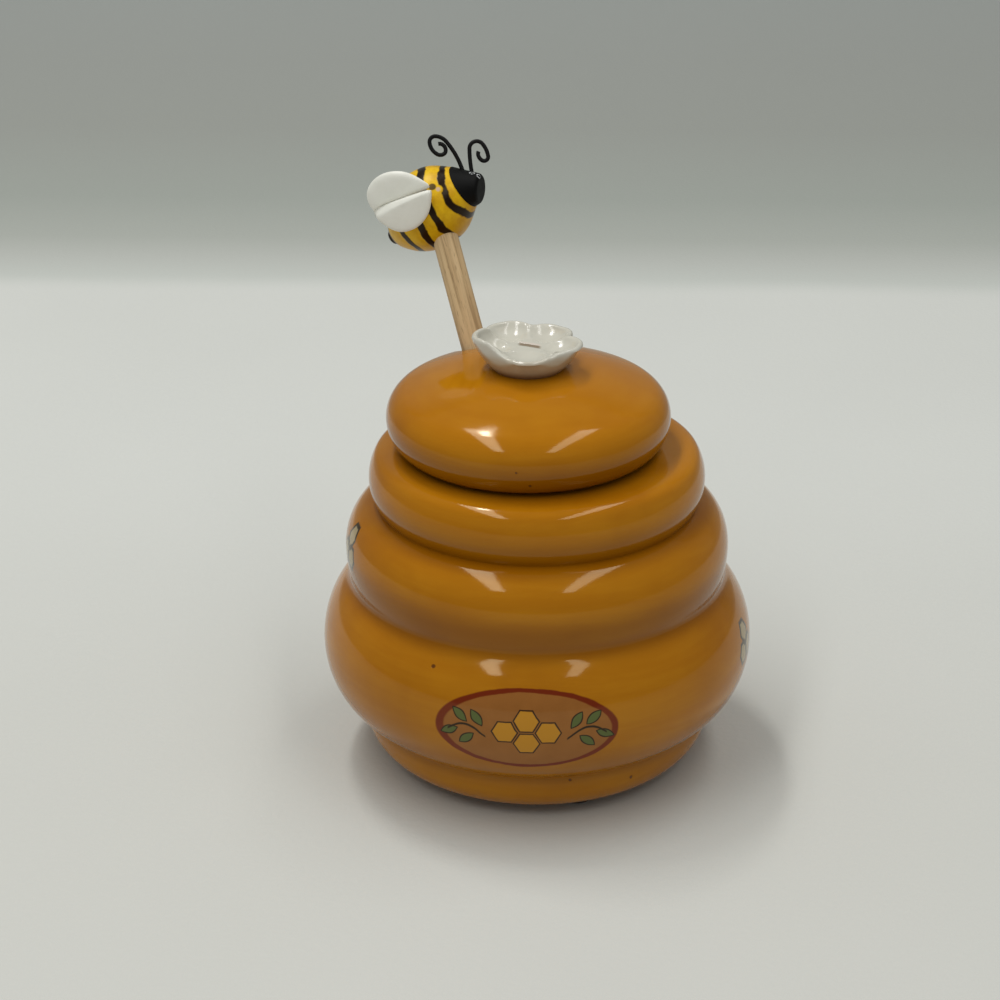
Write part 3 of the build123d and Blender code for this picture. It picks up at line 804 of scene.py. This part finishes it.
def makeBeePaint():
    shader = Shader("beePaint")
    spot = shader.shifted(beeMiddle * mm)
    run, sideways, upward = (shader.along(spot, axis) * perMetre for axis in (beeForward, beeLeft, beeUp))
    sway = (shader.cloud(150.0, 2.0) - 0.5) * 2.4 + (shader.cloud(700.0, 2.0) - 0.5) * 0.5
    patchy = shader.cloud(330.0, 3.0, 0.6)
    yellow = shader.mix(patchy.step(0.3, 0.7), beeTones["yellow"], beeTones["ochre"])
    # painted shade: the yellow darkens towards the bee's underside
    yellow = shader.mix((1 - (upward + sideways * 0.4).step(-6.0, 8.0)) * 0.5, yellow, beeTones["bellyShade"])
    place = run + sway
    across = sideways * beeSizes["across"][0] + upward * beeSizes["across"][1]
    stripes = None
    for middle, half, slope, bow in beeSizes["stripes"]:
        stripe = (place - across * slope - across * across * bow).band(middle, half, 0.18)
        stripes = stripe if stripes is None else stripes.most(stripe)
    glueAndGlint = [shader.away(spot) + sway * 0.25 for spot in beeSizes["glue"]]
    stripes = stripes * glueAndGlint[1].step(0.9, 1.4)  # a painted highlight beside the glue breaks the front stripe
    tail = 1 - place.step(*beeSizes["tailPaint"])
    dark = stripes.most(tail)
    base = shader.mix(dark, yellow, beeTones["stripe"])
    base = shader.mix((1 - glueAndGlint[0].step(0.7, 1.1)) * 0.9, base, beeTones["glue"])
    # painted highlight: a pinkish white glint beside the glue spot
    base = shader.mix((1 - glueAndGlint[1].step(0.35, 0.75)) * 0.85, base, beeTones["glueGlint"])
    height = patchy * 0.3 + dark * 0.35 + shader.cloud(1500.0, 2.0) * 0.1
    rough = 0.32 + patchy * 0.12 - dark * 0.08
    return shader.finish(Base_Color=base, Roughness=rough, Normal=shader.bump(height, 0.00018), IOR=1.45,
                         Specular_IOR_Level=0.35, Specular_Tint=colors["shine"])


beePaint = makeBeePaint()
makePiece("beeBody", makeBeeBody(), beePaint, "dipper", ["bee_body"])


def makeBlackPaint():
    shader = Shader("blackPaint")
    patchy = shader.cloud(420.0, 3.0)
    base = shader.mix(patchy, beeTones["black"], beeTones["worn"])
    for eye in beeSizes["eyes"]:  # two small painted rings with uneven strokes
        ring = shader.away(eye).band(beeSizes["eyeRadius"], beeSizes["eyeStroke"], 0.06)
        base = shader.mix(ring * shader.cloud(2600.0, 1.0).step(0.35, 0.5), base, beeTones["eye"])
    height = patchy * 0.5 + shader.cloud(2200.0, 2.0) * 0.2
    return shader.finish(Base_Color=base, Roughness=0.5 + patchy * 0.2, Normal=shader.bump(height, 0.0001),
                         IOR=1.4, Specular_IOR_Level=0.2)


blackPaint = makeBlackPaint()
dress("bee_head", blackPaint)


# ---- wings ---------------------------------------------------------------------------------
wingSizes = {
    "length": 15.9, "width": 9.4, "thickness": 2.2, "spread": 1.5, "bevelSlope": 0.62, "segments": 72, "rings": 32,
    "white": (240, 240, 230), "dull": (226, 226, 214), "stain": (192, 192, 178),
    "left": {
        "root": (5.8, 0.75, 10.0), "raise": 25.0, "thickLine": 0.5, "middle": (0.52, 0.45), "square": 6,
        "edge": [(-0.01, -0.02), (0.05, 0.24), (0.15, 0.52), (0.27, 0.72), (0.44, 0.87), (0.61, 0.92), (0.77, 0.88),
                 (0.90, 0.75), (0.97, 0.56), (0.99, 0.36), (0.95, 0.12), (0.70, 0.02), (0.35, 0.0), (0.07, -0.06)],
    },
    "right": {
        "root": (6.3, -1.1, 11.6), "raise": -27.0, "thickLine": 0.0, "middle": (0.52, 0.12), "square": 16,
        "edge": [(-0.01, 0.04), (0.04, 0.17), (0.17, 0.41), (0.29, 0.54), (0.47, 0.63), (0.65, 0.60), (0.80, 0.48),
                 (0.91, 0.24), (0.98, -0.10), (0.97, -0.28), (0.91, -0.37), (0.68, -0.32), (0.35, -0.17),
                 (0.07, -0.04)],
        # its inner edge is bevelled: share of the length, edge in widths, millimetres of bevel
        "bevel": [(-0.1, 0.04, 0.2), (0.07, -0.04, 0.5), (0.35, -0.17, 1.1), (0.68, -0.32, 1.8), (1.1, -0.42, 2.4)],
    },
}


def wingReach(wing):  # how far the wing's edge is from its middle, in each direction
    long, wide = wingSizes["length"], wingSizes["width"]
    middle = Vector((wing["middle"][0] * long, wing["middle"][1] * wide, 0))
    points = [Vector((u * long, v * wide, 0)) - middle for u, v in wing["edge"]]
    loop = smoothLine([*points, *points[:3]], 12)[12:-12]
    polar = sorted((math.atan2(p.y, p.x), p.length) for p in loop)
    polar = [(polar[-1][0] - 2 * math.pi, polar[-1][1]), *polar, (polar[0][0] + 2 * math.pi, polar[0][1])]

    def reach(angle):
        for (a, r), (b, q) in zip(polar, polar[1:]):
            if a <= angle <= b:
                return r + (q - r) * (angle - a) / max(b - a, 1e-9)
        return polar[0][1]

    return middle, reach


def bevelDrop(wing, u, v):  # how far the bevel lowers the wing's upper side
    long, wide = wingSizes["length"], wingSizes["width"]
    bevel = wing.get("bevel", [])
    for (a, edge, width), (b, nextEdge, nextWidth) in zip(bevel, bevel[1:]):
        if a <= u / long <= b:
            share = (u / long - a) / (b - a)
            inner = (edge + (nextEdge - edge) * share) * wide
            return max(0.0, width + (nextWidth - width) * share - (v - inner)) * wingSizes["bevelSlope"]
    return 0.0


def makeWing(name):
    s, wing = wingSizes, wingSizes[name]
    side = 1 if name == "left" else -1
    raised = math.radians(wing["raise"])
    sideways = Vector((0, side * math.cos(raised), math.sin(raised)))
    backward = Vector((-1, 0, 0))
    top = backward.cross(sideways) * -side
    root = Vector(wing["root"])
    middle, reach = wingReach(wing)
    shape = bmesh.new()
    bmesh.ops.create_uvsphere(shape, u_segments=s["segments"], v_segments=s["rings"], radius=1.0)
    for vert in shape.verts:
        flat = math.hypot(vert.co.x, vert.co.y)
        angle = math.atan2(vert.co.y, vert.co.x)
        out = min(flat, 1.0) ** 0.8 if flat > 1e-6 else 0.0
        edge = reach(angle) * out * 0.99
        u, v = middle.x + edge * math.cos(angle), middle.y + edge * math.sin(angle)
        across = (u - s["length"] / 2) / (s["spread"] * s["length"] / 2)
        over = (v - s["width"] * wing["thickLine"]) / (s["spread"] * s["width"] / 2)
        half = s["thickness"] / 2 * math.sqrt(max(0.05, 1 - across ** 2 - over ** 2))
        lift = half * math.sqrt(max(0.0, 1 - out ** wing["square"]))
        lift = math.copysign(lift, vert.co.z) if abs(vert.co.z) > 1e-6 else 0.0
        if lift > 0:
            lift -= min(bevelDrop(wing, u, v), lift * 1.7)
        lift += noise.noise(Vector((u, v, side * 3.0)) * 0.25) * 0.08
        spot = root + backward * u + sideways * v + top * lift
        vert.co = beeFrame @ spot * mm
    bmesh.ops.recalc_face_normals(shape, faces=shape.faces)
    return shape


def makeWhitePaint():
    shader = Shader("whitePaint")
    patchy = shader.cloud(300.0, 4.0, 0.6)
    stains = shader.cloud(120.0, 2.0)
    base = shader.mix(patchy, paint(*wingSizes["white"]), paint(*wingSizes["dull"]))
    base = shader.mix(stains.step(0.62, 0.8) * 0.4, base, paint(*wingSizes["stain"]))
    normal = shader.bump(patchy * 0.5 + shader.cloud(1400.0, 2.0) * 0.15, 0.00015)
    return shader.finish(Base_Color=base, Roughness=0.34 + patchy * 0.12, Normal=normal, IOR=1.46)


whitePaint = makeWhitePaint()
for wingName in ("left", "right"):
    makePiece("beeWing" + wingName.title(), makeWing(wingName), whitePaint, "dipper",
              ["bee_wing_" + wingName], 60)
print("bee made")


# ---- wire and pads -------------------------------------------------------------------------
smallColors = {"wire": (6, 6, 6), "wireWorn": (18, 18, 18), "rubber": (14, 14, 14), "dust": (38, 37, 35)}
smallTones = {name: paint(*levels) for name, levels in smallColors.items()}


def makeWire():
    shader = Shader("blackWire")
    scuff = shader.cloud(800.0, 3.0)
    base = shader.mix(scuff, smallTones["wire"], smallTones["wireWorn"])
    return shader.finish(Base_Color=base, Roughness=0.4 + scuff * 0.25, Normal=shader.bump(scuff, 0.00005),
                         IOR=1.4, Specular_IOR_Level=0.25)


def makePadRubber():
    shader = Shader("padRubber")
    dust = shader.cloud(500.0, 4.0)
    base = shader.mix(dust.step(0.4, 0.8), smallTones["rubber"], smallTones["dust"])
    return shader.finish(Base_Color=base, Roughness=0.7 + dust * 0.2, Normal=shader.bump(dust, 0.0001))


wire, rubber = makeWire(), makePadRubber()
for side in ("left", "right"):
    dress("bee_antenna_" + side, wire)
for index in range(1, 5):
    dress("foot_pad_%d" % index, rubber)
print("small parts made")


# ---- table, wall, light, camera ------------------------------------------------------------
stageSizes = {
    "near": -1.2, "wallAt": 1.4, "bend": 0.3, "high": 1.6, "halfWidth": 1.6,
    # the table darkens away from the front: start and length of that stretch, colours as shares of it
    "far": (0.33, 0.5),
    "tones": [(0.0, (200, 204, 198)), (0.026, (195, 199, 193)), (0.07, (185, 188, 182)), (0.118, (172, 176, 169)),
              (0.22, (161, 166, 159)), (0.424, (157, 160, 154)), (0.666, (159, 162, 157)), (0.94, (163, 167, 163))],
    "front": (207, 208, 202), "behind": (214, 216, 211), "cloudy": (193, 195, 189),
}


def makeStage():
    s = stageSizes
    shape = bmesh.new()
    bend, tableEnd = s["bend"], s["wallAt"] - s["bend"]
    line = [(s["near"], 0.0), (tableEnd, 0.0)]
    for degrees in range(10, 91, 10):
        a = math.radians(degrees)
        line.append((tableEnd + bend * math.sin(a), bend * (1 - math.cos(a))))
    line.append((s["wallAt"], s["high"]))
    points = [shape.verts.new((-s["halfWidth"], y, z)) for y, z in line]
    edges = [shape.edges.new(pair) for pair in zip(points, points[1:])]
    made = bmesh.ops.extrude_edge_only(shape, edges=edges)["geom"]
    moved = [item for item in made if isinstance(item, bmesh.types.BMVert)]
    bmesh.ops.translate(shape, verts=moved, vec=(2 * s["halfWidth"], 0, 0))
    mesh = bpy.data.meshes.new("stage")
    shape.to_mesh(mesh)
    shape.free()
    mesh.shade_smooth()
    stage = bpy.data.objects.new("stage", mesh)
    bpy.context.scene.collection.objects.link(stage)
    shader = Shader("stagePaint")
    x, y, z = shader.axes()
    soft = shader.cloud(9.0, 3.0)
    away = y + z * 0.6
    start, length = s["far"]
    nearColor = shader.mix(away.step(-0.05, 0.2), paint(*s["front"]), paint(*s["behind"]))
    nearColor = shader.mix(soft * 0.3, nearColor, paint(*s["cloudy"]))
    farColor = shader.ramp((away - start) / length, [(spot, paint(*tone)) for spot, tone in s["tones"]])
    color = shader.mix((away + (soft - 0.5) * 0.01).step(start - 0.005, start + 0.015), nearColor, farColor)
    normal = shader.bump(shader.cloud(600.0, 2.0), 0.0001)
    stage.data.materials.append(shader.finish(Base_Color=color, Roughness=0.6, Specular_IOR_Level=0.2, Normal=normal))


makeStage()

lightSizes = {
    # middle in metres, size across and along, turn in degrees, strength
    "leftPanel": ((-0.54, -0.42, 1.5), (0.26, 2.3), -8.0, 6.8),
    "leftWindow": ((-0.37, 0.44, 1.49), (0.09, 0.42), -8.0, 32.0),
    "rightPanel": ((0.57, -0.45, 1.5), (0.24, 2.3), 5.0, 4.9),
}
roomSizes = {
    "lampColor": (1.0, 0.99, 0.97), "color": (0.80, 0.81, 0.82, 1), "strength": 0.40,
    "mirrored": 0.25,  # the room is darker where glossy surfaces mirror it
}
for lightName, (spot, (wide, deep), turned, strength) in lightSizes.items():
    lamp = bpy.data.lights.new(lightName, "AREA")
    lamp.shape = "RECTANGLE"
    lamp.size, lamp.size_y = wide, deep
    lamp.energy = strength * wide * deep * math.pi
    lamp.color = roomSizes["lampColor"]
    holder = bpy.data.objects.new(lightName, lamp)
    holder.location = spot
    holder.rotation_euler.z = math.radians(turned)
    bpy.context.scene.collection.objects.link(holder)

world = bpy.data.worlds.new("room")
bpy.context.scene.world = world
world.use_nodes = True
worldTree = world.node_tree
backdrop = worldTree.nodes["Background"]
backdrop.inputs["Color"].default_value = roomSizes["color"]
path = worldTree.nodes.new("ShaderNodeLightPath")
dimmer = worldTree.nodes.new("ShaderNodeMapRange")
dimmer.inputs["To Min"].default_value = roomSizes["strength"]
dimmer.inputs["To Max"].default_value = roomSizes["mirrored"]
worldTree.links.new(path.outputs["Is Glossy Ray"], dimmer.inputs["Value"])
worldTree.links.new(dimmer.outputs["Result"], backdrop.inputs["Strength"])

cameraSizes = {
    "place": (0.016997, -0.549120, 0.318176), "lens": 90.0, "sensor": 36.0,
    "right": (0.99900, 0.04414, -0.00646), "top": (-0.01257, 0.41737, 0.90865),
    "ahead": (-0.04280, 0.90766, -0.41751),
}
cameraData = bpy.data.cameras.new("camera")
cameraData.lens, cameraData.sensor_width = cameraSizes["lens"], cameraSizes["sensor"]
camera = bpy.data.objects.new("camera", cameraData)
turn = Matrix((cameraSizes["right"], cameraSizes["top"], [-v for v in cameraSizes["ahead"]])).transposed()
camera.matrix_world = Matrix.Translation(cameraSizes["place"]) @ turn.to_4x4()
bpy.context.scene.collection.objects.link(camera)
bpy.context.scene.camera = camera
bpy.context.scene.view_settings.view_transform = "Standard"
print("stage made")
